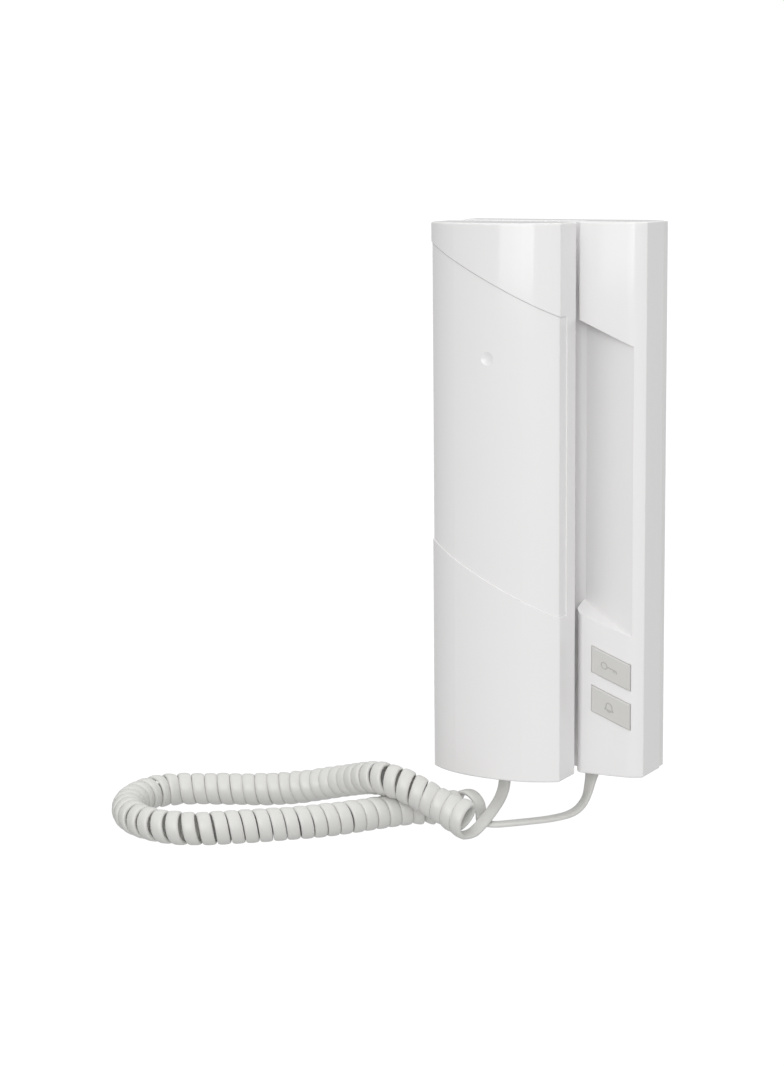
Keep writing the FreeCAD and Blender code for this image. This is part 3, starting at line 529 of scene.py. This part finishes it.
def mark(button, strokes, material):
    """Raised line drawing on a button's crowned front, which moves with the button."""
    low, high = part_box(button)
    middle_x, middle_z = (low[0] + high[0]) / 2, (low[2] + high[2]) / 2
    curve = bpy.data.curves.new(button + "_mark", "CURVE")
    curve.dimensions = "3D"
    curve.bevel_depth = MARK_THICK
    curve.bevel_resolution = 2
    curve.use_fill_caps = True
    for stroke in strokes:
        spline = curve.splines.new("POLY")
        spline.points.add(len(stroke) - 1)
        for point, (right, up) in zip(spline.points, stroke):
            x = middle_x + right * MM
            y = x * x / (2 * CROWN_RADIUS) - CROWN_DEPTH - BUTTON_PROUD
            point.co = (x, y, middle_z + (up + MARK_SLOPE * right) * MM, 1)
    mesh = mesh_of(curve)
    mesh.materials.clear()
    mesh.materials.append(material)
    piece = show(button + "_mark", mesh)
    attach(piece, button)


def working_spring(node, material):
    """A button's return spring, a copy of its CAD mesh that stays with the base."""
    mesh = frame["nodes"][node].data.copy()
    mesh.materials.clear()
    mesh.materials.append(material)
    piece = show(node + "_coils", mesh)
    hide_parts(node)
    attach(piece, "base")
    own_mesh(piece)


# ================================================================ the curly cord
def wander(phase, size, rng):
    """Small smooth changes from turn to turn."""
    turns = int(phase[-1] / (2 * math.pi)) + 3
    values = rng.uniform(-size, size, turns)
    return np.interp(phase / (2 * math.pi), np.arange(turns) + 0.5, values)


def lowest_phase(side, other):
    """Angle round a turn at which the cord is lowest."""
    return math.atan2(-other[2], -side[2]) % (2 * math.pi)


def wind_coil():
    """Centre line and wide direction of the coil, from the handset end to the base end."""
    rng = np.random.default_rng(SEED)
    axis = even(read_route(COIL), STEP)
    along = run_along(axis)
    share = along / along[-1]
    travel = headings(axis)
    side = carried(travel, (0, 0, 1))
    other = np.cross(travel, side)

    rate = 2 * math.pi / (np.interp(share, PITCH_AT, PITCHES) * MM)
    phase = np.concatenate([[0.0], np.cumsum((rate[1:] + rate[:-1]) / 2 * np.diff(along))])
    first = lowest_phase(side[0], other[0])
    last = lowest_phase(side[-1], other[-1]) - LAST_TURN_SHORT
    turns = round((phase[-1] - (last - first)) / (2 * math.pi))
    phase *= (2 * math.pi * turns + (last - first)) / phase[-1]

    steps = int(phase[-1] / (2 * math.pi) * TURN_STEPS)
    fine = np.linspace(0, phase[-1], steps)
    where = np.interp(fine, phase, along)

    def read(values):
        return np.stack([np.interp(where, along, values[:, k]) for k in range(3)], axis=1)

    centre, travel, side = read(axis), unit(read(travel)), read(side)
    side = square_to(side, travel)
    other = np.cross(travel, side)
    angle = fine + first
    radius = np.interp(where / along[-1], RADIUS_AT, RADII) * MM + wander(fine, RADIUS_WANDER, rng)
    out = side * np.cos(angle)[:, None] + other * np.sin(angle)[:, None]
    lean = wander(fine, LEAN_WANDER, rng) * np.cos(angle + wander(fine, ANGLE_WANDER, rng))
    line = centre + out * radius[:, None] + travel * lean[:, None]
    wide = travel + out * shingle(centre, travel, out, radius, fine)[:, None]
    return line, unit(wide)


def shingle(centre, travel, out, radius, phase):
    """Tilt that lets the turns overlap like shingles on the inside of a bend."""
    run = run_along(centre)
    bend = np.stack([np.gradient(travel[:, k], run) for k in range(3)], axis=1)
    pitch = 2 * math.pi / np.gradient(phase, run)
    room = pitch * (1 - radius * (bend * out).sum(1))
    short = np.clip((RIBBON_WIDE - room) / RIBBON_WIDE, 0, MOST_SHORT)
    full = np.arcsin(np.clip(RIBBON_THICK * OVERLAP_ROOM / room, 0, MOST_TILT))
    tilt = full * np.clip(short / FULL_TILT_SHORT, 0, 1)
    kernel = np.ones(TURN_STEPS // 3) / (TURN_STEPS // 3)
    return np.tan(np.convolve(tilt, kernel, mode="same"))


def tail_line(points):
    """Evenly spaced points of a tail's smooth line."""
    return even(read_route(points), STEP)


def turned(line, stations, sides):
    """Wide direction along a tail, blended between given ones and squared to the line."""
    share = run_along(line)
    share = share / share[-1]
    blend = np.stack([np.interp(share, stations, [s[k] for s in sides]) for k in range(3)], axis=1)
    return square_to(blend, headings(line))


def ribbon_profile():
    """Cross-section of the flat cord, a slab with full round edges, as (wide, thick) pairs."""
    points = []
    for step in range(RIBBON_SIDES):
        angle = 2 * math.pi * (step + 0.5) / RIBBON_SIDES
        x, y = math.cos(angle), math.sin(angle)
        wide = math.copysign(abs(x) ** (2 / RIBBON_ROUND), x)
        thick = math.copysign(abs(y) ** (2 / RIBBON_ROUND), y)
        points.append((wide * RIBBON_WIDE / 2, thick * RIBBON_THICK / 2))
    return points


def ribbon(name, line, wide, material, flare=0.0):
    """A closed mesh of the flat cord along a line, which may widen at its last few millimetres."""
    direction = headings(line)
    wide = square_to(wide, direction)
    thin = np.cross(direction, wide)
    profile = ribbon_profile()
    count = len(profile)
    along = run_along(line)
    grow = 1 + flare * np.clip(1 - (along[-1] - along) / FLARE_RUN, 0, 1)[:, None] ** FLARE_CURVE
    rings = [line + wide * x * grow + thin * y for x, y in profile]
    points = np.stack(rings, axis=1).reshape(-1, 3)
    faces = []
    for ring in range(len(line) - 1):
        for k in range(count):
            a = ring * count + k
            b = ring * count + (k + 1) % count
            faces.append((a, b, b + count, a + count))
    faces.append(tuple(range(count))[::-1])
    faces.append(tuple(len(points) - count + k for k in range(count)))
    mesh = bpy.data.meshes.new(name)
    mesh.from_pydata([tuple(p) for p in points], [], faces)
    mesh.update()
    outward = bmesh.new()
    outward.from_mesh(mesh)
    bmesh.ops.recalc_face_normals(outward, faces=outward.faces)
    outward.to_mesh(mesh)
    outward.free()
    for polygon in mesh.polygons:
        polygon.use_smooth = len(polygon.vertices) == 4
    mesh.materials.append(material)
    return show(name, mesh)


def make_cords(material):
    """The whole cord in two pieces: the handset's tail with its first turns, and the rest."""
    coil, coil_wide = wind_coil()
    coil_wide = -coil_wide
    lead_in = coil[0] - unit(coil[1] - coil[0]) * COIL_LEAD_IN
    lead_out = coil[-1] + unit(coil[-1] - coil[-2]) * COIL_LEAD_OUT

    hand = tail_line(HAND_TAIL + [tuple(lead_in), tuple(coil[0])])
    hand_wide = turned(hand, HAND_TURN_AT, HAND_TURNS + [tuple(coil_wide[0])])
    base = tail_line([tuple(coil[-1]), tuple(lead_out)] + BASE_TAIL)
    base_wide = turned(base, BASE_TURN_AT, [tuple(coil_wide[-1])] + BASE_TURNS)

    line = np.concatenate([hand[:-1], coil, base[1:]])
    wide = np.concatenate([hand_wide[:-1], coil_wide, base_wide[1:]])
    near = np.linalg.norm(coil - np.array(SPLIT_AT), axis=1)
    split = len(hand) - 1 + int(np.argmin(near))

    lead_piece = ribbon("handset_cord", line[:split + 1], wide[:split + 1], material)
    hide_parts("handset_cord_tail", "handset_coil_end")
    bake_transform(lead_piece)
    rest_piece = ribbon("coiled_cord_ribbon", line[split:], wide[split:], material, EXIT_FLARE)
    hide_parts("coiled_cord", "base_cord_tail")
    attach(rest_piece, "base")


def main():
    """Build the scene."""
    make_camera()
    materials = make_materials()
    make_cords(materials["cord_white"])
    mark("unlock_button", key_strokes(), materials["button_mark"])
    mark("call_button", bell_strokes(), materials["button_mark"])
    working_spring("unlock_button_spring", materials["steel"])
    working_spring("call_button_spring", materials["steel"])
    make_floor(floor_material())
    make_light()
    dress_frame(materials)


main()
